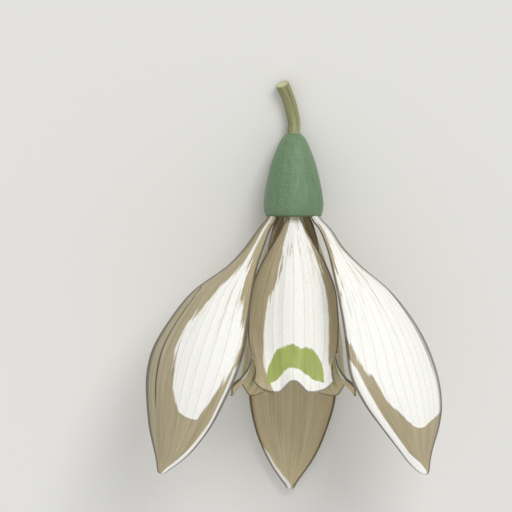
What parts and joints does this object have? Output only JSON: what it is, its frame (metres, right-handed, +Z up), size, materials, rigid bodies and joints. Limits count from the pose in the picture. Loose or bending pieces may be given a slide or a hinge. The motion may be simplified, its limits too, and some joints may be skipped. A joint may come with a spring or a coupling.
{
  "type": "snowdrop flower",
  "caption": "Picked snowdrop bloom lying on its back: spreading outer petals round a notched inner bell, with a green ovary and a short cut stalk.",
  "frame": {"origin": "on the surface that the flower lies on, under the middle of its bounding box", "axes": "+Y towards the cut stalk, -Y towards the mouth of the bell, +X to the right as seen in the picture, +Z up from the surface"},
  "size_m": [0.0248, 0.036, 0.0155],
  "materials": {
    "ovary_green": "waxy, smooth, satin",
    "stalk_green": "smooth, satin, faintly ribbed",
    "outer_petal_white": "soft white petal, satin, faintly veined",
    "inner_petal_white": "soft white petal with green marks, satin",
    "anther_orange": "matt, powdery",
    "style_pale": "smooth, satin"
  },
  "bodies": {
    "root": {"ovary": "ovary_green", "flower_stalk": "stalk_green", "outer_petal_left": "outer_petal_white", "outer_petal_right": "outer_petal_white", "outer_petal_rear": "outer_petal_white", "inner_petal_front": "inner_petal_white", "inner_petal_left": "inner_petal_white", "inner_petal_right": "inner_petal_white", "stamen_1": "anther_orange", "stamen_2": "anther_orange", "stamen_3": "anther_orange", "stamen_4": "anther_orange", "stamen_5": "anther_orange", "stamen_6": "anther_orange", "style": "style_pale"}
  },
  "joints": []
}
